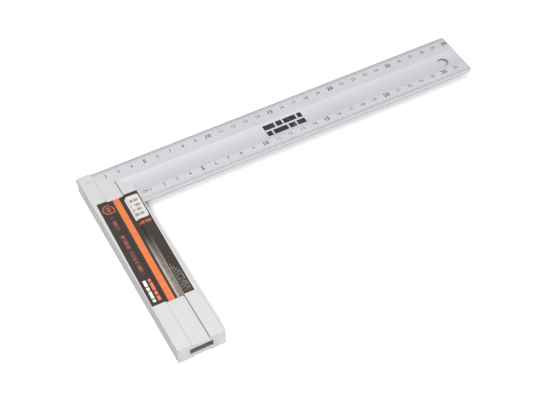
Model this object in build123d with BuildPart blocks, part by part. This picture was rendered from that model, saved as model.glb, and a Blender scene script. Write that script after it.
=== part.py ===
from build123d import *
import os

os.makedirs("parts", exist_ok=True)

# A fixed try-and-mitre square: a ruled blade let into the slotted end of a
# hollow stock, pinned there, with a printed label on the stock's upper face.
# The part lies flat. +X runs along the blade from the heel to the tip, +Y from
# the stock's near end to the blade, +Z up. The origin is under the centre of
# the whole outline, on the surface that the stock rests on.

# Stock: an extruded bar with a sunk middle strip above and below
stock_width = 33.0
stock_thickness = 13.0
stock_length = 165.0
stock_setback = 4.5  # the blade's outer edge stands this far past the stock's end
stock_edge_radius = 0.5
mitre_leg = 24.1  # each leg of the 45 degree cut at the stock's inner corner
strip_width = 12.5
strip_depth = 1.3
hollow_width = 16.0
hollow_height = 4.6
near_end_chamfer = 0.4

# Blade: a flat extrusion with bevelled edges and a hollow-ground middle channel
blade_reach = 303.0  # from the stock's outer face to the tip
blade_width = 41.5
blade_thickness = 1.5
outer_bevel = 1.9
outer_edge_height = 0.8
inner_bevel = 0.8
inner_edge_height = 1.3
channel_start = 15.0  # from the blade's outer edge
channel_width = 16.5
channel_depth = 0.3
inner_tip_radius = 3.0
outer_tip_radius = 0.8
hanging_hole_radius = 4.25
hanging_hole_from_tip = 15.0
hanging_hole_from_outer_edge = 24.2

# Pins through the stock's two rails and the blade
pin_radius = 2.0
pin_from_outer_face = 6.2
pin_rows = (13.2, 37.7)  # distances from the blade's outer edge

# Label: a thin printed film that follows the sunk strip, slightly askew
label_width = 29.4
label_length = 97.0
label_film = 0.12
label_tilt = -1.25
label_centre_from_outer_face = 16.5
label_centre_from_outer_edge = 82.6

# Places that follow from the sizes
heel_x = -blade_reach / 2
tip_x = blade_reach / 2
inner_face_x = heel_x + stock_width
stock_mid_x = heel_x + stock_width / 2
blade_outer_y = (stock_setback + stock_length) / 2
blade_inner_y = blade_outer_y - blade_width
stock_far_y = blade_outer_y - stock_setback
stock_near_y = stock_far_y - stock_length
mid_z = stock_thickness / 2
blade_low_z = mid_z - blade_thickness / 2
blade_high_z = mid_z + blade_thickness / 2
strip_floor_z = stock_thickness - strip_depth
pin_spots = [
    (heel_x + pin_from_outer_face, blade_outer_y - pin_rows[0]),
    (heel_x + pin_from_outer_face, blade_outer_y - pin_rows[1]),
    (inner_face_x - pin_from_outer_face, blade_outer_y - pin_rows[1]),
]

# The stock's section is drawn at its near end and runs towards the blade.
near_end_plane = Plane.XZ.offset(-stock_near_y)

with BuildPart() as stock:
    with BuildSketch(near_end_plane):
        with Locations((stock_mid_x, mid_z)):
            RectangleRounded(stock_width, stock_thickness, stock_edge_radius)
            Rectangle(hollow_width, hollow_height, mode=Mode.SUBTRACT)
        with Locations(
            (stock_mid_x, strip_floor_z + strip_depth / 2),
            (stock_mid_x, strip_depth / 2),
        ):
            Rectangle(strip_width, strip_depth, mode=Mode.SUBTRACT)
    extrude(amount=-stock_length)
    # Deburred outline of the near end
    near_face = stock.faces().sort_by(Axis.Y)[0]
    chamfer(near_face.outer_wire().edges(), length=near_end_chamfer)
    # The inner corner of the far end is cut at 45 degrees
    with BuildSketch(Plane.XY):
        with BuildLine():
            Polyline(
                (inner_face_x, stock_far_y),
                (inner_face_x - mitre_leg, stock_far_y),
                (inner_face_x, stock_far_y - mitre_leg),
                close=True,
            )
        make_face()
    extrude(amount=stock_thickness, mode=Mode.SUBTRACT)
    # Slot for the blade, open at both sides and at the far end
    with BuildSketch(Plane.XY.offset(blade_low_z)):
        with Locations((heel_x, blade_inner_y)):
            Rectangle(stock_width, blade_width, align=(Align.MIN, Align.MIN))
    extrude(amount=blade_thickness, mode=Mode.SUBTRACT)
    with Locations(*[(x, y, stock_thickness) for x, y in pin_spots]):
        Hole(pin_radius)
stock.part.label = "stock"
export_step(stock.part, "parts/stock.step")

with BuildPart() as blade:
    with BuildSketch(Plane.YZ.offset(heel_x)):
        with BuildLine():
            channel_high = (blade_outer_y - channel_start, blade_high_z)
            channel_low = (channel_high[0] - channel_width, blade_high_z)
            Polyline(
                channel_low,
                (blade_inner_y + inner_bevel, blade_high_z),
                (blade_inner_y, blade_low_z + inner_edge_height),
                (blade_inner_y, blade_low_z),
                (blade_outer_y, blade_low_z),
                (blade_outer_y, blade_low_z + outer_edge_height),
                (blade_outer_y - outer_bevel, blade_high_z),
                channel_high,
            )
            SagittaArc(channel_high, channel_low, channel_depth)
        make_face()
    extrude(amount=blade_reach)
    tip_corners = blade.edges().filter_by(Axis.Z).group_by(Axis.X)[-1].sort_by(Axis.Y)
    fillet(tip_corners[0], radius=inner_tip_radius)
    tip_corners = blade.edges().filter_by(Axis.Z).group_by(Axis.X)[-1].sort_by(Axis.Y)
    fillet(tip_corners[-1], radius=outer_tip_radius)
    hole_x = tip_x - hanging_hole_from_tip
    hole_y = blade_outer_y - hanging_hole_from_outer_edge
    with Locations((hole_x, hole_y, blade_high_z)):
        Hole(hanging_hole_radius)
    with Locations(*[(x, y, blade_high_z) for x, y in pin_spots]):
        Hole(pin_radius)
blade.part.label = "blade"
export_step(blade.part, "parts/blade.step")

with BuildPart() as blade_pins:
    with BuildSketch(Plane.XY):
        with Locations(*pin_spots):
            Circle(pin_radius)
    extrude(amount=stock_thickness)
blade_pins.part.label = "blade_pins"
export_step(blade_pins.part, "parts/blade_pins.step")

with BuildPart() as label:
    # A skin over the whole upper face: two rails, the strip's floor and its walls
    with BuildSketch(near_end_plane):
        with Locations((stock_mid_x, stock_thickness)):
            Rectangle(stock_width, label_film, align=(Align.CENTER, Align.MIN))
            Rectangle(strip_width, label_film, mode=Mode.SUBTRACT, align=(Align.CENTER, Align.MIN))
        with Locations((stock_mid_x, strip_floor_z)):
            skin_height = strip_depth + label_film
            inner_width = strip_width - 2 * label_film
            Rectangle(strip_width, skin_height, align=(Align.CENTER, Align.MIN))
        with Locations((stock_mid_x, strip_floor_z + label_film)):
            Rectangle(inner_width, strip_depth, mode=Mode.SUBTRACT, align=(Align.CENTER, Align.MIN))
    extrude(amount=-stock_length)
    # Trimmed to the label's own tilted outline
    with BuildSketch(Plane.XY):
        label_x = heel_x + label_centre_from_outer_face
        label_y = blade_outer_y - label_centre_from_outer_edge
        with Locations((label_x, label_y)):
            Rectangle(label_width, label_length, rotation=label_tilt)
    extrude(amount=stock_thickness + label_film, mode=Mode.INTERSECT)
label.part.label = "label"
export_step(label.part, "parts/label.step")
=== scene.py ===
from math import cos, floor, pi, radians, sin, sqrt

import bmesh
import bpy
from bpy.props import FloatProperty, FloatVectorProperty, IntProperty, PointerProperty
from mathutils import Matrix, Vector


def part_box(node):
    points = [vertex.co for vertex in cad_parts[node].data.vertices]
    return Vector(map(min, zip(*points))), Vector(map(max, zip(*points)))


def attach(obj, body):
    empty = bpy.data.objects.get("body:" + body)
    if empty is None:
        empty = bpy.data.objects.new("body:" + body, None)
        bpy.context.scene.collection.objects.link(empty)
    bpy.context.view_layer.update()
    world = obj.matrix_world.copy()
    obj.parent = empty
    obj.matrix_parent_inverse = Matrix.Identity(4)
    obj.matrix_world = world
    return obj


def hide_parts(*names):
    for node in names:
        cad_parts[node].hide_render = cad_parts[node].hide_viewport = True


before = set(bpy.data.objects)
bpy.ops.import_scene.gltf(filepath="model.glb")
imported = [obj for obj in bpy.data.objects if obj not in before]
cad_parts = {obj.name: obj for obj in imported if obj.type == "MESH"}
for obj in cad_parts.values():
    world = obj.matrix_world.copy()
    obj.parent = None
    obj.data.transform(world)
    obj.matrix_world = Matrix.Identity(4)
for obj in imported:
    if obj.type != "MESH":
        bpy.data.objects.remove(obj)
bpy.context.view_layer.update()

# A fixed try-and-mitre square lying flat. +X runs along the blade from the heel
# to the tip, +Y from the stock's near end to the blade, +Z up, all in metres.

bl_info = {
    "name": "Try-and-mitre square",
    "version": (1, 0, 0),
    "blender": (4, 5, 0),
    "location": "3D View > Sidebar > Square",
    "description": "Models the stock, blade, pins, scales, mark and label of a carpenter's square",
    "category": "Add Mesh",
}

MM = 0.001
STOCK_LOW, STOCK_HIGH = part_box("stock")
BLADE_LOW, BLADE_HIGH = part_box("blade")
PINS_LOW, PINS_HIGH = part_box("blade_pins")
LABEL_LOW, LABEL_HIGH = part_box("label")
INK_LIFT = 0.012 * MM  # how far print stands over the metal
INK_SINK = 0.010 * MM  # how far its underside reaches in, so that no gap shows
FLOOR_GAP = 0.04 * MM  # between the stock's underside and the floor
FLOOR_REACH = 4.0  # from the middle of the floor to its edges
ROUND_SIDES = 48  # facets round a pin or a hole
LAMP_SIZE = 0.6
LAMP_DISTANCE = 2.2
LAMP_DROP = radians(-5)  # how far the lamp hangs below the line to the camera
LIGHT_CEILING = 0.86  # sine of the height above which the surroundings grow no brighter
SKIN, SAWN, HOLLOW = range(3)  # the stock's material slots
MITRE = Vector((1, 1, 0))  # out of the stock's 45 degree face


def length(name, description, millimetres):
    """A length property given in millimetres and kept in metres."""
    return FloatProperty(
        name=name, description=description, default=millimetres * MM, unit="LENGTH", precision=5
    )


def colour(name, description, red, green, blue):
    """A linear colour property."""
    return FloatVectorProperty(
        name=name,
        description=description,
        default=(red, green, blue),
        size=3,
        min=0.0,
        max=1.0,
        subtype="COLOR",
    )


def angle(name, description, degrees):
    """An angle property given in degrees."""
    return FloatProperty(
        name=name, description=description, default=radians(degrees), subtype="ANGLE"
    )


def share(name, description, default, high=1.0):
    """A plain number from zero upwards."""
    return FloatProperty(name=name, description=description, default=default, min=0.0, max=high)


class StockSettings(bpy.types.PropertyGroup):
    """Sizes and colour of the extruded stock."""

    strip_width: length("Strip width", "Width of the sunk middle strip", 12.5)
    strip_depth: length("Strip depth", "How deep the middle strip is sunk", 1.3)
    hollow_width: length("Hollow width", "Width of the hollow through the stock", 16.0)
    hollow_height: length("Hollow height", "Height of the hollow through the stock", 4.6)
    mitre_leg: length("Mitre leg", "Each leg of the 45 degree cut at the far inner corner", 24.1)
    edge_radius: length("Edge radius", "Rounding of the stock's long outer edges", 0.5)
    deburr: length("Deburring", "Rounding of the sawn and inner edges", 0.14)
    metal: colour("Metal", "Colour of the anodised skin", 0.458, 0.450, 0.457)


class BladeSettings(bpy.types.PropertyGroup):
    """Sizes and colour of the blade."""

    outer_bevel: length("Outer bevel", "Width of the bevel along the outer edge", 1.9)
    outer_edge: length("Outer edge", "Height of the outer edge below its bevel", 0.8)
    inner_bevel: length("Inner bevel", "Width of the bevel along the inner edge", 0.8)
    inner_edge: length("Inner edge", "Height of the inner edge below its bevel", 1.3)
    channel_start: length("Channel start", "From the outer edge to the channel", 15.0)
    channel_width: length("Channel width", "Width of the shallow channel", 16.5)
    channel_depth: length("Channel depth", "Depth at the channel's middle", 0.3)
    channel_cuts: IntProperty(name="Channel cuts", description="Strips across the channel", default=22)
    tip_radius: length("Inner tip radius", "Rounding of the tip's inner corner", 3.0)
    tip_radius_outer: length("Outer tip radius", "Rounding of the tip's outer corner", 0.8)
    hole_radius: length("Hole radius", "Radius of the hanging hole", 4.25)
    hole_from_tip: length("Hole from tip", "From the tip to the hole's centre", 15.0)
    hole_from_edge: length("Hole from edge", "From the outer edge to the hole's centre", 24.2)
    deburr: length("Deburring", "Rounding of the hole's rim and the sawn tip", 0.12)
    metal: colour("Metal", "Colour of the anodised skin", 0.445, 0.439, 0.464)


class PinSettings(bpy.types.PropertyGroup):
    """Sizes and colour of the pins."""

    radius: length("Radius", "Radius of each pin", 2.0)
    row_gap: length("Row gap", "Between the two rows of pins", 24.5)
    chamfer: length("Chamfer", "Width of the chamfer round each end", 0.18)
    sink: length("Sink", "How far each end lies below the stock's face", 0.02)
    metal: colour("Metal", "Colour of the ground ends", 0.47, 0.466, 0.47)


class ScaleSettings(bpy.types.PropertyGroup):
    """Sizes and colour of the two printed scales."""

    line: length("Line", "Width of a millimetre mark", 0.15)
    centimetre_line: length("Centimetre line", "Width of a centimetre mark", 0.16)
    short_mark: length("Short mark", "Reach of a millimetre mark from the edge", 3.4)
    middle_mark: length("Middle mark", "Reach of a five millimetre mark", 3.9)
    long_mark: length("Long mark", "Reach of a centimetre mark", 4.4)
    outer_row: length("Outer numerals", "From the outer edge to the middle of its numerals", 7.0)
    inner_row: length("Inner numerals", "From the inner edge to the middle of its numerals", 8.0)
    unit_place: length("Unit", "From the inner scale's zero to the unit's middle", 5.6)
    height: length("Numeral height", "Height of the small numerals", 2.6)
    bold_height: length("Bold numeral height", "Height of every fifth numeral", 3.3)
    weight: length("Weight", "Extra stroke width of the small numerals", 0.0)
    bold_weight: length("Bold weight", "Extra stroke width of every fifth numeral", 0.2)
    ink: colour("Ink", "Colour of the printed scales", 0.018, 0.017, 0.020)


class MarkSettings(bpy.types.PropertyGroup):
    """Sizes of the plain printed mark on the blade."""

    left: length("Left", "From the heel to the mark", 138.0)
    top: length("Top", "From the outer edge to the mark", 17.6)
    width: length("Width", "Width of the mark", 31.0)
    row_height: length("Row height", "Height of each of its two rows", 4.7)
    row_pitch: length("Row pitch", "From one row to the next", 6.4)
    gap: length("Gap", "Between neighbouring blocks of a row", 1.3)
    ink: colour("Ink", "Colour of the mark", 0.012, 0.011, 0.012)


class LabelSettings(bpy.types.PropertyGroup):
    """Sizes and colours of the printed label."""

    width: length("Width", "Width across the stock", 29.4)
    height: length("Length", "Length along the stock", 97.0)
    film: length("Film", "Thickness of the film", 0.09)
    from_outer_face: length("Across", "From the stock's outer face to the label's middle", 16.5)
    from_outer_edge: length("Along", "From the blade's outer edge to the label's middle", 82.6)
    tilt: angle("Tilt", "How far the label is stuck on askew", -1.25)
    ground: colour("Ground", "Colour of the label's ground", 0.0145, 0.0095, 0.0072)
    stripe: colour("Stripe", "Colour of the long stripe", 0.385, 0.1, 0.026)
    panel: colour("Panel", "Colour of the pale panel", 0.345, 0.322, 0.30)
    panel_print: colour("Panel print", "Colour of the bars on the panel", 0.10, 0.092, 0.085)
    seal: colour("Seal", "Colour of the seal's disc", 0.074, 0.014, 0.007)
    seal_line: colour("Seal line", "Colour of the seal's ring", 0.235, 0.078, 0.048)
    pale_blocks: colour("Pale blocks", "Colour of the pale row of blocks", 0.46, 0.43, 0.41)
    warm_blocks: colour("Warm blocks", "Colour of the warm row of blocks", 0.40, 0.085, 0.04)
    short_print: colour("Short print", "Colour of the short row under the panel", 0.30, 0.075, 0.035)
    small_print: colour("Small print", "Colour of the rows of bars", 0.15, 0.138, 0.127)
    caption_print: colour("Caption print", "Colour of the long caption row", 0.150, 0.045, 0.038)
    picture: colour("Picture", "Colour of the metal bar drawn on the label", 0.135, 0.115, 0.10)


class StageSettings(bpy.types.PropertyGroup):
    """Camera, light and floor."""

    target: FloatVectorProperty(
        name="Target",
        description="Point the camera looks at",
        default=(-0.0371, 0.0068, 0.0),
        subtype="TRANSLATION",
    )
    distance: length("Distance", "From the target to the camera", 874.8)
    azimuth: angle("Azimuth", "Turn of the camera from +Y", -25.95)
    elevation: angle("Elevation", "Camera's angle above the floor", 48.42)
    roll: angle("Roll", "Camera's turn about its own axis", -2.576)
    lens: share("Lens", "Focal length in millimetres on a 36 mm sensor", 83.6, 500.0)
    floor: colour("Floor", "Colour of the floor", 0.55, 0.55, 0.55)
    low_light: share("Low light", "Brightness of the surroundings near the floor", 1.14, 10.0)
    high_light: share("High light", "Extra brightness straight overhead", 1.84, 10.0)
    light_steepness: share("Light steepness", "How late the overhead light sets in", 5.0, 20.0)
    front_light: share("Front light", "Power of the softbox behind the camera", 62.0, 1000.0)


GROUPS = {
    "square_stock": StockSettings,
    "square_blade": BladeSettings,
    "square_pins": PinSettings,
    "square_scales": ScaleSettings,
    "square_mark": MarkSettings,
    "square_label": LabelSettings,
    "square_stage": StageSettings,
}


# ---------------------------------------------------------------- shader sums


class Value:
    """A shader socket that can stand in ordinary sums."""

    def __init__(self, finish, socket):
        self.finish = finish
        self.socket = socket

    def sum(self, operation, other, swapped=False):
        """One Math node on this value and another value or number."""
        pair = [other, self] if swapped else [self, other]
        return self.finish.node("ShaderNodeMath", {"operation": operation}, pair)

    def __add__(self, other):
        return self.sum("ADD", other)

    def __radd__(self, other):
        return self.sum("ADD", other, swapped=True)

    def __sub__(self, other):
        return self.sum("SUBTRACT", other)

    def __rsub__(self, other):
        return self.sum("SUBTRACT", other, swapped=True)

    def __mul__(self, other):
        return self.sum("MULTIPLY", other)

    def __rmul__(self, other):
        return self.sum("MULTIPLY", other, swapped=True)

    def __truediv__(self, other):
        return self.sum("DIVIDE", other)

    def __pow__(self, other):
        return self.sum("POWER", other)


class Finish:
    """A node material built from sums on its own sockets."""

    def __init__(self, name):
        self.material = bpy.data.materials.new(name)
        self.material.use_nodes = True
        self.tree = self.material.node_tree
        self.shader = self.tree.nodes["Principled BSDF"]

    def node(self, kind, settings=None, sockets=(), output=0):
        """Adds a node: its settings first, then its sockets by place or by name."""
        node = self.tree.nodes.new(kind)
        for name, setting in (settings or {}).items():
            setattr(node, name, setting)
        pairs = sockets.items() if isinstance(sockets, dict) else enumerate(sockets)
        for key, value in pairs:
            self.plug(node.inputs[key], value)
        return Value(self, node.outputs[output])

    def plug(self, socket, value):
        """Links a value to a socket, or sets the socket's own number."""
        if isinstance(value, Value):
            self.tree.links.new(value.socket, socket)
        else:
            socket.default_value = value

    def set(self, **sockets):
        """Sets or links sockets of the shader, with _ for a space in a name."""
        for name, value in sockets.items():
            self.plug(self.shader.inputs[name.replace("_", " ")], value)
        return self.material

    def place(self, origin=(0, 0, 0), turn=0.0, scale=(1, 1, 1)):
        """Object coordinates measured from an origin, turned about Z, then scaled."""
        coordinates = self.node("ShaderNodeTexCoord", output=3)
        sockets = {
            "Vector": coordinates,
            "Location": Vector(origin),
            "Rotation": (0, 0, turn),
            "Scale": (1, 1, 1),
        }
        local = self.node("ShaderNodeMapping", {"vector_type": "TEXTURE"}, sockets)
        return self.node("ShaderNodeVectorMath", {"operation": "MULTIPLY"}, [local, Vector(scale)])

    def axes(self, vector):
        """The x, y and z values of a vector."""
        node = self.tree.nodes.new("ShaderNodeSeparateXYZ")
        self.plug(node.inputs[0], vector)
        return [Value(self, output) for output in node.outputs]

    def noise(self, vector, scale, detail=2.0, roughness=0.5):
        """A noise value about 0.5."""
        sockets = {"Vector": vector, "Scale": scale, "Detail": detail, "Roughness": roughness}
        return self.node("ShaderNodeTexNoise", None, sockets)

    def dots(self, vector, scale, randomness=1.0):
        """The distance to the nearest of some scattered points."""
        sockets = {"Vector": vector, "Scale": scale, "Randomness": randomness}
        return self.node("ShaderNodeTexVoronoi", None, sockets)

    def cells(self, vector):
        """A random value for each whole-number cell of a vector."""
        whole = self.node("ShaderNodeVectorMath", {"operation": "FLOOR"}, [vector])
        return self.node("ShaderNodeTexWhiteNoise", None, [whole])

    def joined(self, x, y, z=0.0):
        """A vector made of three values."""
        return self.node("ShaderNodeCombineXYZ", None, [x, y, z])

    def clamped(self, value, low=0.0, high=1.0):
        """A value kept between two limits."""
        return self.node("ShaderNodeClamp", None, [value, low, high])

    def rises(self, value, at, blur):
        """0 below a limit and 1 above it, with a soft edge."""
        return self.clamped((value - at) / blur + 0.5)

    def between(self, value, low, high, blur):
        """1 between two limits, with soft edges."""
        return self.rises(value, low, blur) * (1 - self.rises(value, high, blur))

    def mixed(self, factor, first, second):
        """A colour between two colours."""
        sockets = {0: factor, 6: paint(first), 7: paint(second)}
        return self.node("ShaderNodeMix", {"data_type": "RGBA"}, sockets, output=2)

    def shaded(self, tint, amount):
        """A colour made darker or lighter by a value about 1."""
        grey = self.joined(amount, amount, amount)
        base = Vector(tint[:3]) if not isinstance(tint, Value) else tint
        return self.node("ShaderNodeVectorMath", {"operation": "MULTIPLY"}, [base, grey])

    def bump(self, height, distance, strength):
        """A normal bumped by a height value."""
        sockets = {"Strength": strength, "Distance": distance, "Height": height}
        return self.node("ShaderNodeBump", None, sockets)

    def math(self, operation, value):
        """One Math node on a single value, such as its square root."""
        return self.node("ShaderNodeMath", {"operation": operation}, [value])


class Surroundings(Finish):
    """The light all round, built from sums like a finish."""

    def __init__(self, name):
        self.world = bpy.data.worlds.new(name)
        self.world.use_nodes = True
        self.tree = self.world.node_tree

    def light(self, strength):
        """Sets how bright the surroundings are."""
        self.plug(self.tree.nodes["Background"].inputs["Strength"], strength)
        self.tree.nodes["Background"].inputs["Color"].default_value = (1.0, 1.0, 1.0, 1.0)


def paint(tint):
    """A colour socket's value: a link stays, three numbers get an alpha."""
    return tint if isinstance(tint, Value) else (*tint[:3], 1.0)


def drawn_metal(name, tint, along, roughness, seed, painted_shade_bands=()):
    """Anodised, extruded aluminium: fine die lines along one axis, faint scratches and blotches.

    Each painted shade band is a place across the stock, its width and its darkness: there the colour is
    darkened as painted shade.
    """
    finish = Finish(name)
    stretch = Vector((1, 1, 1))
    stretch[along] = 0.012
    place = finish.place(origin=(seed, seed, 0))
    lines_at = finish.place(origin=(seed, 0, 0), scale=stretch)
    fine = finish.noise(lines_at, scale=9000, detail=2.0, roughness=0.6)
    broad = finish.noise(lines_at, scale=1400, detail=2.0, roughness=0.55)
    cloud = finish.noise(place, scale=26, detail=3.0, roughness=0.55)
    grain = finish.noise(place, scale=4200, detail=2.0, roughness=0.5)
    speck = finish.rises(0.05 - finish.dots(place, scale=160), at=0.0, blur=0.02)
    tone = 0.90 + 0.05 * cloud + 0.08 * fine + 0.08 * broad - 0.08 * speck
    rough = roughness - 0.06 + 0.12 * cloud + 0.05 * grain + 0.08 * speck
    height = 0.5 * fine + 0.8 * broad + 0.25 * grain - 0.6 * speck
    x, _, _ = finish.axes(finish.place())
    # Painted shade: darkens the colour in narrow bands across the stock, such as the strip's corners and
    # the outer side faces.
    for centre, wide, dark in painted_shade_bands:
        painted_shade_mask = finish.between(x, centre - wide / 2, centre + wide / 2, blur=0.15 * MM)
        tone = tone * (1 - painted_shade_mask * (dark - 0.2 * dark * fine))
    return finish.set(
        Base_Color=finish.shaded(tint, tone),
        Metallic=1.0,
        Roughness=rough,
        Normal=finish.bump(height, distance=0.003 * MM, strength=0.35),
    )


def sawn_metal(name, tint, roughness):
    """A sawn face: close parallel saw marks running up the face, bright and uneven."""
    finish = Finish(name)
    marks_at = finish.place(scale=(1.0, 1.0, 0.06))
    place = finish.place()
    marks = finish.noise(marks_at, scale=2600, detail=3.0, roughness=0.6)
    broad = finish.noise(marks_at, scale=620, detail=2.0, roughness=0.5)
    cloud = finish.noise(place, scale=90, detail=3.0, roughness=0.5)
    tone = 0.72 + 0.30 * marks + 0.22 * broad + 0.04 * cloud
    return finish.set(
        Base_Color=finish.shaded(tint, tone),
        Metallic=1.0,
        Roughness=roughness + 0.12 * marks - 0.06 * broad,
        Normal=finish.bump(marks + 0.7 * broad, distance=0.02 * MM, strength=0.7),
    )


def hollow_metal(name, tint):
    """The unfinished inside of the hollow: duller, streaked along the stock."""
    finish = Finish(name)
    lines = finish.noise(finish.place(scale=(1, 0.02, 1)), scale=3000, detail=2.0, roughness=0.6)
    cloud = finish.noise(finish.place(), scale=60, detail=3.0, roughness=0.5)
    tone = 0.55 + 0.2 * lines + 0.15 * cloud
    return finish.set(
        Base_Color=finish.shaded(tint, tone),
        Metallic=1.0,
        Roughness=0.5 + 0.15 * cloud,
        Normal=finish.bump(lines, distance=0.02 * MM, strength=0.6),
    )


def pin_metal(name, tint, centres):
    """Pin ends ground flush: straight grinding lines over turned rings."""
    finish = Finish(name)
    place = finish.place()
    x, y, _ = finish.axes(place)
    nearest = None
    for centre in centres:
        dx = x - centre[0]
        dy = y - centre[1]
        distance = finish.math("SQRT", dx * dx + dy * dy)
        nearest = distance if nearest is None else nearest.sum("MINIMUM", distance)
    ring_pitch = 0.22 * MM
    rings = finish.math("SINE", nearest * (2 * pi / ring_pitch))
    lines_at = finish.place(turn=radians(20), scale=(0.05, 1, 1))
    lines = finish.noise(lines_at, scale=5000, detail=2.0, roughness=0.6)
    cloud = finish.noise(place, scale=700, detail=2.0, roughness=0.5)
    return finish.set(
        Base_Color=finish.shaded(tint, 0.86 + 0.16 * lines + 0.06 * cloud),
        Metallic=1.0,
        Roughness=0.3 + 0.14 * lines + 0.1 * cloud,
        Normal=finish.bump(0.2 * rings + lines, distance=0.006 * MM, strength=0.8),
    )


def scale_ink(name, tint):
    """Black print on metal: slightly worn, with pinholes where the metal shows."""
    finish = Finish(name)
    place = finish.place()
    cloud = finish.noise(place, scale=300, detail=3.0, roughness=0.6)
    grain = finish.noise(place, scale=6000, detail=2.0, roughness=0.6)
    worn = finish.rises(grain * 0.6 + cloud * 0.5, at=0.70, blur=0.12)
    return finish.set(
        Base_Color=finish.mixed(worn * 0.5, tint, (0.30, 0.295, 0.31)),
        Roughness=0.42 + 0.25 * grain,
        Specular_IOR_Level=0.12,
        Normal=finish.bump(grain, distance=0.004 * MM, strength=0.5),
    )


# ---------------------------------------------------------------- mesh helpers


def finished(name, mesh, materials, node=None, smooth_angle=30.0):
    """Turns a bmesh into a piece that rides the part and takes a material slot."""
    for edge in mesh.edges:
        if len(edge.link_faces) == 2:
            edge.smooth = edge.calc_face_angle(0.0) < radians(smooth_angle)
    for face in mesh.faces:
        face.smooth = True
    data = bpy.data.meshes.new(name)
    mesh.to_mesh(data)
    mesh.free()
    for material in materials:
        data.materials.append(material)
    piece = bpy.data.objects.new(name, data)
    bpy.context.scene.collection.objects.link(piece)
    flatten = piece.modifiers.new("flat_faces", "WEIGHTED_NORMAL")
    flatten.keep_sharp = True
    flatten.weight = 100
    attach(piece, "root")
    if node:
        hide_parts(node)
    return piece


def moved_sheet(mesh, faces, offset):
    """Extrudes faces by an offset and gives back the far faces."""
    made = bmesh.ops.extrude_face_region(mesh, geom=faces)["geom"]
    corners = [part for part in made if isinstance(part, bmesh.types.BMVert)]
    bmesh.ops.translate(mesh, verts=corners, vec=offset)
    return [part for part in made if isinstance(part, bmesh.types.BMFace)]


def split_along(mesh, point, normal, clear_outer=False):
    """Cuts a mesh along a plane, and gives back what lies on the cut."""
    everything = mesh.verts[:] + mesh.edges[:] + mesh.faces[:]
    made = bmesh.ops.bisect_plane(
        mesh, geom=everything, plane_co=point, plane_no=normal, clear_outer=clear_outer
    )
    return made["geom_cut"]


def round_bars(mesh, centres, radius, low, high):
    """Adds upright round bars between two heights."""
    for centre in centres:
        bmesh.ops.create_cone(
            mesh,
            cap_ends=True,
            segments=ROUND_SIDES,
            radius1=radius,
            radius2=radius,
            depth=high - low,
            matrix=Matrix.Translation((centre.x, centre.y, (low + high) / 2)),
        )


def rounded_edges(mesh, chosen, width, segments):
    """Rounds the edges that a test picks."""
    edges = [edge for edge in mesh.edges if len(edge.link_faces) == 2 and chosen(edge)]
    bmesh.ops.bevel(
        mesh,
        geom=edges,
        affect="EDGES",
        offset=width,
        offset_type="OFFSET",
        segments=segments,
        profile=0.5,
        material=-1,
        clamp_overlap=True,
    )


def blade_top(y):
    """Height of the blade's upper surface at a distance along Y."""
    sizes = bpy.context.scene.square_blade
    from_outer = BLADE_HIGH.y - y
    from_inner = y - BLADE_LOW.y
    if from_outer < sizes.outer_bevel:
        drop = BLADE_HIGH.z - BLADE_LOW.z - sizes.outer_edge
        return BLADE_HIGH.z - drop * (1 - from_outer / sizes.outer_bevel)
    if from_inner < sizes.inner_bevel:
        drop = BLADE_HIGH.z - BLADE_LOW.z - sizes.inner_edge
        return BLADE_HIGH.z - drop * (1 - from_inner / sizes.inner_bevel)
    half = sizes.channel_width / 2
    across = abs(from_outer - sizes.channel_start - half)
    if across >= half:
        return BLADE_HIGH.z
    radius = (half**2 + sizes.channel_depth**2) / (2 * sizes.channel_depth)
    return BLADE_HIGH.z + radius - sizes.channel_depth - sqrt(radius**2 - across**2)


def blade_creases():
    """Where the blade's upper surface changes slope, from the outer edge inwards."""
    sizes = bpy.context.scene.square_blade
    channel = BLADE_HIGH.y - sizes.channel_start
    return [
        BLADE_HIGH.y - sizes.outer_bevel,
        channel,
        channel - sizes.channel_width,
        BLADE_LOW.y + sizes.inner_bevel,
    ]


def cut_along_blade(mesh):
    """Cuts a flat sheet along every line where the blade's upper surface bends."""
    sizes = bpy.context.scene.square_blade
    creases = blade_creases()
    step = sizes.channel_width / sizes.channel_cuts
    strips = [creases[1] - step * count for count in range(1, sizes.channel_cuts)]
    for y in creases + strips:
        split_along(mesh, (0, y, 0), (0, 1, 0))


def printed(mesh):
    """Lays a flat sheet on the blade's upper surface as a thin closed layer of ink."""
    cut_along_blade(mesh)
    moved_sheet(mesh, mesh.faces[:], (0, 0, -1))
    for corner in mesh.verts:
        under = corner.co.z < -0.5  # the copy that the line above moved down
        corner.co.z = blade_top(corner.co.y) + (-INK_SINK if under else INK_LIFT)
    bmesh.ops.recalc_face_normals(mesh, faces=mesh.faces[:])


def rectangle(mesh, left, right, low, high):
    """Adds a flat rectangle at height zero."""
    middle = ((left + right) / 2, (low + high) / 2, 0)
    size = Matrix.Diagonal((right - left, high - low, 1, 1))
    bmesh.ops.create_grid(
        mesh, x_segments=1, y_segments=1, size=0.5, matrix=Matrix.Translation(middle) @ size
    )


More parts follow.
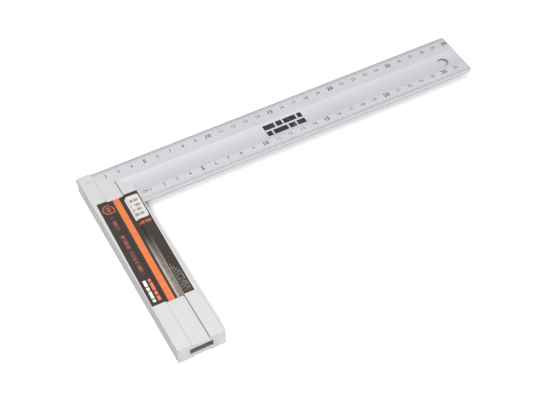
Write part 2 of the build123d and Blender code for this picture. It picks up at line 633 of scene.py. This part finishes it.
def numeral(mesh, text, x, y, height, weight):
    """Adds flat lettering of a given height, centred on a point."""
    curve = bpy.data.curves.new("numeral", "FONT")
    curve.body = text
    curve.resolution_u = 3
    flat = bpy.data.objects.new("numeral", curve)
    bpy.context.scene.collection.objects.link(flat)
    plain = bpy.data.meshes.new_from_object(flat)
    low = min(point.co.y for point in plain.vertices)
    high = max(point.co.y for point in plain.vertices)
    scale = height / (high - low)
    curve.offset = weight / scale / 2
    heavy = bpy.data.meshes.new_from_object(flat.evaluated_get(bpy.context.evaluated_depsgraph_get()))
    left = min(point.co.x for point in heavy.vertices)
    right = max(point.co.x for point in heavy.vertices)
    centre = Matrix.Translation((-(left + right) / 2, -(low + high) / 2, 0))
    heavy.transform(Matrix.Translation((x, y, 0)) @ Matrix.Scale(scale, 4) @ centre)
    mesh.from_mesh(heavy)
    bpy.data.objects.remove(flat)
    bpy.data.curves.remove(curve)
    for spare in (plain, heavy):
        bpy.data.meshes.remove(spare)


def pin_centres():
    """The middle of each pin, worked out from the box of all three."""
    sizes = bpy.context.scene.square_pins
    left = PINS_LOW.x + sizes.radius
    right = PINS_HIGH.x - sizes.radius
    far = PINS_HIGH.y - sizes.radius
    near = far - sizes.row_gap
    return [Vector((left, far, 0)), Vector((left, near, 0)), Vector((right, near, 0))]


def drilled(mesh, centres, radius, low, high):
    """Cuts round holes straight down through a closed mesh and gives back a new mesh."""
    body_data = bpy.data.meshes.new("drilling")
    mesh.to_mesh(body_data)
    mesh.free()
    body = bpy.data.objects.new("drilling", body_data)
    drill_mesh = bmesh.new()
    round_bars(drill_mesh, centres, radius, low - MM, high + MM)
    drill_data = bpy.data.meshes.new("drill")
    drill_mesh.to_mesh(drill_data)
    drill_mesh.free()
    drill = bpy.data.objects.new("drill", drill_data)
    for thing in (body, drill):
        bpy.context.scene.collection.objects.link(thing)
    cut = body.modifiers.new("drill", "BOOLEAN")
    cut.operation = "DIFFERENCE"
    cut.solver = "EXACT"
    cut.object = drill
    graph = bpy.context.evaluated_depsgraph_get()
    result = bpy.data.meshes.new_from_object(body.evaluated_get(graph))
    drilled_mesh = bmesh.new()
    drilled_mesh.from_mesh(result)
    for thing in (body, drill):
        bpy.data.objects.remove(thing)
    for spare in (body_data, drill_data, result):
        bpy.data.meshes.remove(spare)
    return drilled_mesh


# ---------------------------------------------------------------- the pieces


def stock_section(sizes, middle, half_high):
    """The stock's section as a flat sheet at its near end, split level with the blade's slot."""
    across = [
        STOCK_LOW.x,
        middle - sizes.hollow_width / 2,
        middle - sizes.strip_width / 2,
        middle + sizes.strip_width / 2,
        middle + sizes.hollow_width / 2,
        STOCK_HIGH.x,
    ]
    upward = [
        STOCK_LOW.z,
        STOCK_LOW.z + sizes.strip_depth,
        half_high - sizes.hollow_height / 2,
        BLADE_LOW.z,
        BLADE_HIGH.z,
        half_high + sizes.hollow_height / 2,
        STOCK_HIGH.z - sizes.strip_depth,
        STOCK_HIGH.z,
    ]
    mesh = bmesh.new()
    columns, rows = len(across) - 1, len(upward) - 1
    bmesh.ops.create_grid(mesh, x_segments=columns, y_segments=rows, size=0.5)
    for corner in mesh.verts:
        column = round((corner.co.x + 0.5) * columns)
        row = round((corner.co.y + 0.5) * rows)
        corner.co = (across[column], STOCK_LOW.y, upward[row])

    def empty(face):
        spot = face.calc_center_median()
        in_strip = abs(spot.x - middle) < sizes.strip_width / 2
        at_skin = not upward[1] < spot.z < upward[-2]
        in_hollow = abs(spot.x - middle) < sizes.hollow_width / 2
        at_core = abs(spot.z - half_high) < sizes.hollow_height / 2
        return (in_strip and at_skin) or (in_hollow and at_core)

    gone = [face for face in mesh.faces if empty(face)]
    bmesh.ops.delete(mesh, geom=gone, context="FACES")
    return mesh


def draw_out_stock(mesh, sizes):
    """Draws the section out along the stock, leaves the slot open and cuts the mitre."""
    front = moved_sheet(mesh, mesh.faces[:], (0, BLADE_LOW.y - STOCK_LOW.y, 0))
    cheeks = [f for f in front if not BLADE_LOW.z < f.calc_center_median().z < BLADE_HIGH.z]
    moved_sheet(mesh, cheeks, (0, STOCK_HIGH.y - BLADE_LOW.y, 0))
    inner_walls = [face for face in cheeks if face.is_valid]
    bmesh.ops.delete(mesh, geom=inner_walls, context="FACES")
    mitre_start = (STOCK_HIGH.x, STOCK_HIGH.y - sizes.mitre_leg, 0)
    cut = split_along(mesh, mitre_start, MITRE, clear_outer=True)
    rim = [part for part in cut if isinstance(part, bmesh.types.BMEdge)]
    bmesh.ops.holes_fill(mesh, edges=rim, sides=0)
    bmesh.ops.dissolve_limit(
        mesh, angle_limit=radians(0.5), verts=mesh.verts[:], edges=mesh.edges[:]
    )
    bmesh.ops.recalc_face_normals(mesh, faces=mesh.faces[:])


def is_long_outer(edge):
    """Whether an edge is one of the stock's four long outer edges."""
    first, second = (corner.co for corner in edge.verts)
    along = abs(first.y - second.y) > abs(first.x - second.x) + abs(first.z - second.z)
    side = min(abs(first.x - STOCK_LOW.x), abs(first.x - STOCK_HIGH.x)) < 0.1 * MM
    face = min(abs(first.z - STOCK_LOW.z), abs(first.z - STOCK_HIGH.z)) < 0.1 * MM
    return along and side and face


def sort_stock_faces(mesh, sizes, middle, half_high):
    """Gives the sawn faces and the hollow's walls their own material slots."""
    reach = 0.05 * MM
    for face in mesh.faces:
        spot = face.calc_center_median()
        inside = abs(spot.x - middle) < sizes.hollow_width / 2 + reach
        core = abs(spot.z - half_high) < sizes.hollow_height / 2 + reach
        if face.normal.dot(MITRE.normalized()) > 0.9 or abs(face.normal.y) > 0.9:
            face.material_index = SAWN
        elif inside and core:
            face.material_index = HOLLOW


def stock_grooves(sizes, middle):
    """Painted shade: dark bands in the strip's two corners, and the outer side faces painted darker."""
    half_strip = sizes.strip_width / 2
    corners = [(middle - half_strip, 0.45 * MM, 0.55), (middle + half_strip, 0.40 * MM, 0.42)]
    sides = [(x, 0.3 * MM, 0.44) for x in (STOCK_LOW.x, STOCK_HIGH.x)]
    return corners + sides


class SQUARE_OT_stock(bpy.types.Operator):
    """Model the hollow stock with its sunk strips, blade slot and mitre"""

    bl_idname = "square.stock"
    bl_label = "Stock"

    def execute(self, context):
        sizes = context.scene.square_stock
        pin_radius = context.scene.square_pins.radius
        middle = (STOCK_LOW.x + STOCK_HIGH.x) / 2
        half_high = (STOCK_LOW.z + STOCK_HIGH.z) / 2
        mesh = stock_section(sizes, middle, half_high)
        draw_out_stock(mesh, sizes)
        rounded_edges(mesh, is_long_outer, sizes.edge_radius, 4)
        rounded_edges(mesh, lambda e: e.calc_face_angle(0.0) > radians(40), sizes.deburr, 2)
        mesh = drilled(mesh, pin_centres(), pin_radius, STOCK_LOW.z, STOCK_HIGH.z)
        sort_stock_faces(mesh, sizes, middle, half_high)
        # painted shade for the strip's corners and the outer side faces
        painted_shade_bands = stock_grooves(sizes, middle)
        bright = tuple(part * 1.06 for part in sizes.metal)  # the fresh saw cut
        skin = drawn_metal("stock_skin", sizes.metal, along=1, roughness=0.30, seed=0.31, painted_shade_bands=painted_shade_bands)
        sawn = sawn_metal("stock_sawn", bright, roughness=0.4)
        hollow = hollow_metal("stock_hollow", sizes.metal)
        finished("stock_body", mesh, [skin, sawn, hollow], "stock")
        return {"FINISHED"}


def blade_sheet(sizes):
    """The blade's outline as a flat sheet with its two tip corners rounded."""
    mesh = bmesh.new()
    rectangle(mesh, BLADE_LOW.x, BLADE_HIGH.x, BLADE_LOW.y, BLADE_HIGH.y)
    for y, radius in ((BLADE_LOW.y, sizes.tip_radius), (BLADE_HIGH.y, sizes.tip_radius_outer)):
        tip = Vector((BLADE_HIGH.x, y, 0))
        corner = min(mesh.verts, key=lambda v: (v.co - tip).length)
        bmesh.ops.bevel(
            mesh,
            geom=[corner],
            affect="VERTICES",
            offset=radius,
            segments=12,
            profile=0.5,
            material=-1,
        )
    return mesh


def thicken_blade(mesh):
    """Gives the sheet the blade's flat underside and its bevelled, channelled upper side."""
    cut_along_blade(mesh)
    lower = moved_sheet(mesh, mesh.faces[:], (0, 0, -1))
    under = {corner for face in lower for corner in face.verts}
    for corner in mesh.verts:
        corner.co.z = BLADE_LOW.z if corner in under else blade_top(corner.co.y)
    bmesh.ops.recalc_face_normals(mesh, faces=mesh.faces[:])


def sharpen_creases(data):
    """Keeps a crisp line wherever the blade's upper surface changes slope."""
    for edge in data.edges:
        ends = [data.vertices[index].co for index in edge.vertices]
        on_top = min(end.z for end in ends) > BLADE_LOW.z + 0.2 * MM
        if on_top and any(max(abs(end.y - y) for end in ends) < 0.01 * MM for y in blade_creases()):
            edge.use_edge_sharp = True


class SQUARE_OT_blade(bpy.types.Operator):
    """Model the blade with its bevelled edges, shallow channel and hanging hole"""

    bl_idname = "square.blade"
    bl_label = "Blade"

    def execute(self, context):
        sizes = context.scene.square_blade
        pin_radius = context.scene.square_pins.radius
        mesh = blade_sheet(sizes)
        thicken_blade(mesh)
        hole = Vector((BLADE_HIGH.x - sizes.hole_from_tip, BLADE_HIGH.y - sizes.hole_from_edge, 0))
        mesh = drilled(mesh, [hole], sizes.hole_radius, BLADE_LOW.z, BLADE_HIGH.z)
        mesh = drilled(mesh, pin_centres(), pin_radius, BLADE_LOW.z, BLADE_HIGH.z)

        def is_rim(edge):
            away = [(corner.co.xy - hole.xy).length for corner in edge.verts]
            at_wall = max(away) < sizes.hole_radius + 0.01 * MM
            level = abs(edge.verts[0].co.z - edge.verts[1].co.z) < 0.2 * MM
            return at_wall and level and edge.calc_face_angle(0.0) > radians(60)

        rounded_edges(mesh, is_rim, sizes.deburr, 2)
        skin = drawn_metal("blade_skin", sizes.metal, along=0, roughness=0.22, seed=0.17)
        piece = finished("blade_body", mesh, [skin], "blade", smooth_angle=14.0)
        sharpen_creases(piece.data)
        return {"FINISHED"}


class SQUARE_OT_pins(bpy.types.Operator):
    """Model the three pins that hold the blade in the stock's slot"""

    bl_idname = "square.pins"
    bl_label = "Blade pins"

    def execute(self, context):
        sizes = context.scene.square_pins
        mesh = bmesh.new()
        low, high = PINS_LOW.z + sizes.sink, PINS_HIGH.z - sizes.sink
        round_bars(mesh, pin_centres(), sizes.radius, low, high)
        rounded_edges(mesh, lambda e: e.calc_face_angle(0.0) > radians(60), sizes.chamfer, 3)
        metal = pin_metal("pin_ends", sizes.metal, pin_centres())
        finished("blade_pins_ground", mesh, [metal], "blade_pins")
        return {"FINISHED"}


def scale_marks(sizes, zero, start, last, edge, inward):
    """The millimetre marks of one scale, as flat rectangles."""
    marks = bmesh.new()
    clear = edge + inward * 0.12 * MM  # the marks stop just short of the edge
    for count in range(1, last + 1):
        x = zero + count * MM
        if x < start:
            continue
        reach, line = sizes.short_mark, sizes.line
        if count % 5 == 0:
            reach = sizes.middle_mark
        if count % 10 == 0:
            reach, line = sizes.long_mark, sizes.centimetre_line
        end = edge + inward * reach
        rectangle(marks, x - line / 2, x + line / 2, min(clear, end), max(clear, end))
    return marks


def scale_numerals(sizes, zero, start, last, y, unit):
    """The centimetre numerals of one scale, every fifth one larger and bolder."""
    numerals = bmesh.new()
    for centimetre in range(1, last // 10 + 1):
        x = zero + centimetre * 10 * MM
        if x < start:
            continue
        bold = centimetre % 5 == 0
        height = sizes.bold_height if bold else sizes.height
        weight = sizes.bold_weight if bold else sizes.weight
        numeral(numerals, str(centimetre), x, y, height, weight)
    if unit:
        numeral(numerals, unit, zero + sizes.unit_place, y, sizes.height, sizes.weight)
    return numerals


class SQUARE_OT_scales(bpy.types.Operator):
    """Print the millimetre marks and numerals along both edges of the blade"""

    bl_idname = "square.scales"
    bl_label = "Printed scales"

    def execute(self, context):
        sizes = context.scene.square_scales
        ink = scale_ink("scale_ink", sizes.ink)
        mitre_leg = context.scene.square_stock.mitre_leg
        first_outer = STOCK_HIGH.x - mitre_leg + 2 * MM  # where the stock's cheek stops hiding the scale
        runs = [
            ("outer", BLADE_LOW.x, first_outer, BLADE_HIGH.y, -1, sizes.outer_row, ""),
            ("inner", STOCK_HIGH.x, STOCK_HIGH.x, BLADE_LOW.y, 1, sizes.inner_row, "CM"),
        ]
        for side, zero, start, edge, inward, row, unit in runs:
            last = floor((BLADE_HIGH.x - zero - 0.5 * MM) / MM)
            marks = scale_marks(sizes, zero, start, last, edge, inward)
            printed(marks)
            finished(f"{side}_marks", marks, [ink])
            numerals = scale_numerals(sizes, zero, start, last, edge + inward * row, unit)
            printed(numerals)
            finished(f"{side}_numerals", numerals, [ink])
        return {"FINISHED"}


class SQUARE_OT_mark(bpy.types.Operator):
    """Print a plain two-row mark of bars in the blade's channel"""

    bl_idname = "square.mark"
    bl_label = "Plain mark"

    def execute(self, context):
        sizes = context.scene.square_mark
        mesh = bmesh.new()
        shares = ((0.30, 0.16, 0.34, 0.12), (0.14, 0.38, 0.18, 0.22))  # of each row's width
        for row, parts in enumerate(shares):
            high = BLADE_HIGH.y - sizes.top - row * sizes.row_pitch
            room = sizes.width - sizes.gap * (len(parts) - 1)
            x = BLADE_LOW.x + sizes.left
            for part in parts:
                wide = room * part / sum(parts)
                rectangle(mesh, x, x + wide, high - sizes.row_height, high)
                x += wide + sizes.gap
        printed(mesh)
        ink = scale_ink("mark_ink", sizes.ink)
        finished("plain_mark", mesh, [ink])
        return {"FINISHED"}


class LabelPrint(Finish):
    """The label's print. Places are in millimetres from the label's outer far corner.

    A box is given as left and right across the label, then top and bottom along it.
    """

    BLUR = 0.12
    CAPTION = (4.0, 6.5, 15.5, 71.0)
    PALE_ROW = (2.2, 4.2)
    PALE_BLOCKS = ((75.4, 80.6), (81.5, 84.3), (85.2, 91.2), (92.1, 94.4))
    WARM_ROW = (5.7, 7.7)
    WARM_BLOCKS = ((75.4, 77.8), (78.7, 85.4), (86.3, 89.5), (90.4, 94.4))
    STRIPE = (11.5, 15.9)
    SEAL_MIDDLE = (5.8, 7.8)
    SEAL_RADIUS = 4.3
    SEAL_RING = 0.6
    SEAL_BLOCKS = ((5.0, 6.7, 5.7, 7.4), (5.0, 6.7, 8.1, 9.8))
    PANEL = (18.8, 28.6, 2.9, 25.2)
    PANEL_CORNER = 1.5
    PANEL_BARS = (20.4, 27.0)
    PANEL_ROWS = (6.7, 11.3, 15.4, 19.8)
    PANEL_ROW_HEIGHT = 2.5
    SHORT_ROW = (18.6, 28.6, 27.7, 30.2)
    PICTURE = (17.5, 22.4, 40.0, 97.0)
    PICTURE_SHINE = (17.9, 18.9)
    PICTURE_TICKS = (19.4, 20.9)
    SMALL_START = (23.3, 70.5)
    SMALL_STEP = (1.35, 1.9)
    SMALL_WIDTH = 0.7
    SMALL_END = 95.0

    def __init__(self, sizes, middle):
        super().__init__("label_print")
        self.sizes = sizes
        self.spot = self.place(origin=middle, turn=sizes.tilt, scale=(1 / MM, 1 / MM, 1 / MM))
        x, y, _ = self.axes(self.spot)
        self.u = x + sizes.width / MM / 2
        self.v = sizes.height / MM / 2 - y
        self.fuzz = self.noise(self.spot, scale=6.0, detail=2.0, roughness=0.6)
        self.blotch = self.noise(self.spot, scale=0.55, detail=3.0, roughness=0.6)
        paler = tuple(part * 1.5 for part in sizes.ground)
        self.colour = self.mixed(self.fuzz * 0.35, sizes.ground, paler)

    def cover(self, where, tint):
        """Prints a colour over what is already there."""
        self.colour = self.mixed(where, self.colour, tint)

    def block(self, left, right, top, bottom):
        """1 inside a box."""
        across = self.between(self.u, left, right, self.BLUR)
        return across * self.between(self.v, top, bottom, self.BLUR)

    def rounded_block(self, left, right, top, bottom, radius):
        """1 inside a box with round corners."""
        du = self.math("ABSOLUTE", self.u - (left + right) / 2)
        dv = self.math("ABSOLUTE", self.v - (top + bottom) / 2)
        du = (du - ((right - left) / 2 - radius)).sum("MAXIMUM", 0.0)
        dv = (dv - ((bottom - top) / 2 - radius)).sum("MAXIMUM", 0.0)
        away = self.math("SQRT", du * du + dv * dv)
        return 1 - self.rises(away, radius, self.BLUR)

    def strokes(self, along, pitch, seed, fill, across=0.0):
        """Strokes of random width along a row: 1 where there is ink."""
        cell = self.joined(along / pitch, across + seed, 0.0)
        return 1 - self.rises(self.cells(cell), fill, 0.01)

    def dashes(self, along, pitch, inked):
        """Evenly spaced dashes, each inked over part of its pitch."""
        return 1 - self.rises(self.math("FRACT", along / pitch), inked, 0.08)

    def caption(self):
        """A long row of thin uneven strokes in groups."""
        groups = self.strokes(self.v, pitch=2.6, seed=9.0, fill=0.9)
        inked = self.block(*self.CAPTION) * self.strokes(self.v, pitch=0.42, seed=3.0, fill=0.58) * groups
        uneven = self.strokes(self.v, pitch=0.42, seed=17.0, fill=0.7, across=self.u * 0.7)
        self.cover(inked * (0.62 + 0.38 * uneven), self.sizes.caption_print)

    def block_rows(self):
        """Two rows of plain blocks near the lower end, one pale and one warm."""
        for top, bottom in self.PALE_BLOCKS:
            self.cover(self.block(*self.PALE_ROW, top, bottom), self.sizes.pale_blocks)
        for top, bottom in self.WARM_BLOCKS:
            self.cover(self.block(*self.WARM_ROW, top, bottom), self.sizes.warm_blocks)

    def stripe(self):
        """The long stripe, slightly blotchy."""
        tone = self.shaded(self.sizes.stripe, 0.46 + 0.70 * self.blotch + 0.24 * self.fuzz)
        self.cover(self.between(self.u, *self.STRIPE, self.BLUR), tone)

    def seal(self):
        """A ringed disc with two plain blocks in it."""
        du, dv = self.u - self.SEAL_MIDDLE[0], self.v - self.SEAL_MIDDLE[1]
        away = self.math("SQRT", du * du + dv * dv)
        self.cover(1 - self.rises(away, self.SEAL_RADIUS, self.BLUR), self.sizes.seal)
        ring = self.between(away, self.SEAL_RADIUS - self.SEAL_RING, self.SEAL_RADIUS, self.BLUR)
        first, second = (self.block(*box) for box in self.SEAL_BLOCKS)
        self.cover(ring + (first + second) * 0.75, self.sizes.seal_line)

    def panel(self):
        """A pale panel with four groups of upright bars."""
        self.cover(self.rounded_block(*self.PANEL, self.PANEL_CORNER), self.sizes.panel)
        for index, top in enumerate(self.PANEL_ROWS):
            row = self.block(*self.PANEL_BARS, top, top + self.PANEL_ROW_HEIGHT)
            bars = self.strokes(self.u, pitch=0.33, seed=20.0 + index, fill=0.72)
            self.cover(row * bars * 0.9, self.sizes.panel_print)

    def short_row(self):
        """A short row of bars under the panel."""
        bars = self.strokes(self.u, pitch=0.42, seed=35.0, fill=0.72)
        groups = self.dashes(self.u, pitch=2.0, inked=0.84)
        self.cover(self.block(*self.SHORT_ROW) * bars * groups * 0.9, self.sizes.short_print)

    def picture(self):
        """A graduated metal bar drawn along the label, brighter towards its lower end."""
        shine = self.between(self.u, *self.PICTURE_SHINE, 0.6) * 0.9
        fade = 0.35 + 0.65 * self.clamped((self.v - 44.0) / 26.0)
        ticks = self.dashes(self.v, pitch=1.0, inked=0.3) * self.between(self.u, *self.PICTURE_TICKS, 0.3)
        tone = (0.55 + shine + 0.9 * self.blotch - 0.35 * ticks) * fade
        bar = self.block(*self.PICTURE) * self.clamped((self.v - 38.0) / 14.0)
        patchy = self.clamped(0.55 + 0.9 * self.blotch)
        self.cover(bar * patchy, self.shaded(self.sizes.picture, tone))

    def small_rows(self):
        """Four rows of short bars along the label, each starting a little lower."""
        for index in range(4):
            left = self.SMALL_START[0] + self.SMALL_STEP[0] * index
            top = self.SMALL_START[1] + self.SMALL_STEP[1] * index
            row = self.block(left, left + self.SMALL_WIDTH, top, self.SMALL_END)
            bars = self.strokes(self.v, pitch=0.45, seed=40.0 + index, fill=0.55)
            self.cover(row * bars * 0.8, self.sizes.small_print)

    def made(self):
        """Prints everything in order and gives back the film's material."""
        self.caption()
        self.block_rows()
        self.stripe()
        self.seal()
        self.panel()
        self.short_row()
        self.picture()
        self.small_rows()
        dust = self.rises(0.035 - self.dots(self.spot, scale=0.9), at=0.0, blur=0.02)
        wave = self.noise(self.spot, scale=0.12, detail=2.0, roughness=0.5)
        return self.set(
            Base_Color=self.mixed(dust * 0.25, self.colour, (0.5, 0.5, 0.5)),
            Roughness=0.30 + 0.10 * self.fuzz + 0.2 * dust,
            Specular_IOR_Level=0.25,
            Normal=self.bump(wave + 0.02 * self.fuzz, distance=0.08 * MM, strength=0.6),
        )


def film_sheet(stock):
    """A sheet over the whole width of the stock that follows the sunk strip."""
    strip_left = (STOCK_LOW.x + STOCK_HIGH.x - stock.strip_width) / 2
    strip_right = strip_left + stock.strip_width
    top = STOCK_HIGH.z
    floor_z = top - stock.strip_depth
    lean = 0.45 * MM  # the film slopes down into the strip instead of dropping straight
    run = [(STOCK_LOW.x, top), (strip_left, top), (strip_left + lean, floor_z)]
    run += [(strip_right - lean, floor_z), (strip_right, top), (STOCK_HIGH.x, top)]
    mesh = bmesh.new()
    near, far = LABEL_LOW.y - MM, LABEL_HIGH.y + MM
    corners = [mesh.verts.new((x, near, z)) for x, z in run]
    edges = [mesh.edges.new(pair) for pair in zip(corners, corners[1:])]
    made = bmesh.ops.extrude_edge_only(mesh, edges=edges)["geom"]
    moved = [part for part in made if isinstance(part, bmesh.types.BMVert)]
    bmesh.ops.translate(mesh, verts=moved, vec=(0, far - near, 0))
    bends = [edge for edge in mesh.edges if len(edge.link_faces) == 2]
    bmesh.ops.bevel(
        mesh, geom=bends, affect="EDGES", offset=0.35 * MM, segments=4, profile=0.5, material=-1
    )
    return mesh


class SQUARE_OT_label(bpy.types.Operator):
    """Model the label film that follows the sunk strip, with its print"""

    bl_idname = "square.label"
    bl_label = "Label"

    def execute(self, context):
        sizes = context.scene.square_label
        middle_x = STOCK_LOW.x + sizes.from_outer_face
        middle_y = BLADE_HIGH.y - sizes.from_outer_edge
        centre = Vector((middle_x, middle_y, 0))
        mesh = film_sheet(context.scene.square_stock)
        turn = Matrix.Rotation(sizes.tilt, 3, "Z")
        for side in (Vector((1, 0, 0)), Vector((-1, 0, 0)), Vector((0, 1, 0)), Vector((0, -1, 0))):
            half = (sizes.width if side.x else sizes.height) / 2
            outward = turn @ side
            split_along(mesh, centre + outward * half, outward, clear_outer=True)
        bmesh.ops.recalc_face_normals(mesh, faces=mesh.faces[:])
        if sum(face.normal.z for face in mesh.faces) < 0:
            bmesh.ops.reverse_faces(mesh, faces=mesh.faces[:])
        moved_sheet(mesh, mesh.faces[:], (0, 0, sizes.film))
        bmesh.ops.recalc_face_normals(mesh, faces=mesh.faces[:])
        film = LabelPrint(sizes, centre).made()
        finished("label_film", mesh, [film], "label", smooth_angle=40.0)
        return {"FINISHED"}


def lay_floor(scene, sizes):
    """A plain pale floor just under the stock."""
    mesh = bmesh.new()
    rectangle(mesh, -FLOOR_REACH, FLOOR_REACH, -FLOOR_REACH, FLOOR_REACH)
    for corner in mesh.verts:
        corner.co.z = STOCK_LOW.z - FLOOR_GAP
    data = bpy.data.meshes.new("floor")
    mesh.to_mesh(data)
    mesh.free()
    finish = Finish("floor_paint")
    paper = finish.noise(finish.place(), scale=900, detail=3.0, roughness=0.6)
    floor_paint = finish.set(
        Base_Color=finish.shaded(sizes.floor, 0.985 + 0.03 * paper),
        Roughness=0.95,
        Specular_IOR_Level=0.1,
    )
    data.materials.append(floor_paint)
    floor_sheet = bpy.data.objects.new("floor", data)
    scene.collection.objects.link(floor_sheet)


def light_surroundings(scene, sizes):
    """Even light from all round, brighter overhead."""
    surroundings = Surroundings("soft_surroundings")
    _, _, up = surroundings.axes(surroundings.node("ShaderNodeTexCoord"))
    overhead = surroundings.clamped(up, 0.0, LIGHT_CEILING) ** sizes.light_steepness
    surroundings.light(sizes.low_light + sizes.high_light * overhead)
    scene.world = surroundings.world


def place_camera(scene, sizes, back):
    """A camera that looks at the target from a distance along a direction."""
    camera_data = bpy.data.cameras.new("camera")
    camera_data.lens = sizes.lens
    camera_data.sensor_width = 36.0
    camera = bpy.data.objects.new("camera", camera_data)
    camera.location = Vector(sizes.target) + back * sizes.distance
    aim = (-back).to_track_quat("-Z", "Y").to_matrix() @ Matrix.Rotation(sizes.roll, 3, "Z")
    camera.rotation_euler = aim.to_euler()
    scene.collection.objects.link(camera)
    scene.camera = camera


def hang_softbox(scene, sizes, back):
    """A round softbox near the camera, a little lower, so that shadows fall behind the square."""
    light = bpy.data.lights.new("front_softbox", "AREA")
    light.shape = "DISK"
    light.size = LAMP_SIZE
    light.energy = sizes.front_light
    lamp = bpy.data.objects.new("front_softbox", light)
    toward = Matrix.Rotation(LAMP_DROP, 3, back.cross((0, 0, 1))) @ back
    lamp.location = toward * LAMP_DISTANCE
    lamp.rotation_euler = (-toward).to_track_quat("-Z", "Y").to_euler()
    scene.collection.objects.link(lamp)


class SQUARE_OT_stage(bpy.types.Operator):
    """Set up the pale floor, the soft lights and the camera"""

    bl_idname = "square.stage"
    bl_label = "Stage"

    def execute(self, context):
        scene = context.scene
        sizes = scene.square_stage
        scene.view_settings.view_transform = "Standard"
        flat = cos(sizes.elevation)
        back = Vector((sin(sizes.azimuth) * flat, -cos(sizes.azimuth) * flat, sin(sizes.elevation)))
        lay_floor(scene, sizes)
        light_surroundings(scene, sizes)
        place_camera(scene, sizes, back)
        hang_softbox(scene, sizes, back)
        return {"FINISHED"}


OPERATORS = (
    SQUARE_OT_stock,
    SQUARE_OT_blade,
    SQUARE_OT_pins,
    SQUARE_OT_scales,
    SQUARE_OT_mark,
    SQUARE_OT_label,
    SQUARE_OT_stage,
)


class SQUARE_PT_panel(bpy.types.Panel):
    """Lists the square's pieces and their settings"""

    bl_idname = "SQUARE_PT_panel"
    bl_label = "Try-and-mitre square"
    bl_space_type = "VIEW_3D"
    bl_region_type = "UI"
    bl_category = "Square"

    def draw(self, context):
        for operator in OPERATORS:
            self.layout.operator(operator.bl_idname)
        for name in GROUPS:
            box = self.layout.box()
            group = getattr(context.scene, name)
            for key in group.__annotations__:
                box.prop(group, key)


CLASSES = (*GROUPS.values(), *OPERATORS, SQUARE_PT_panel)


def register():
    """Registers every class and hangs the settings on the scene."""
    for cls in CLASSES:
        bpy.utils.register_class(cls)
    for name, group in GROUPS.items():
        setattr(bpy.types.Scene, name, PointerProperty(type=group))


def unregister():
    """Takes the settings and the classes away again."""
    for name in GROUPS:
        delattr(bpy.types.Scene, name)
    for cls in reversed(CLASSES):
        bpy.utils.unregister_class(cls)


def main():
    """Builds the whole square."""
    register()
    bpy.ops.square.stock()
    bpy.ops.square.blade()
    bpy.ops.square.pins()
    bpy.ops.square.scales()
    bpy.ops.square.mark()
    bpy.ops.square.label()
    bpy.ops.square.stage()


if __name__ == "__main__":
    main()
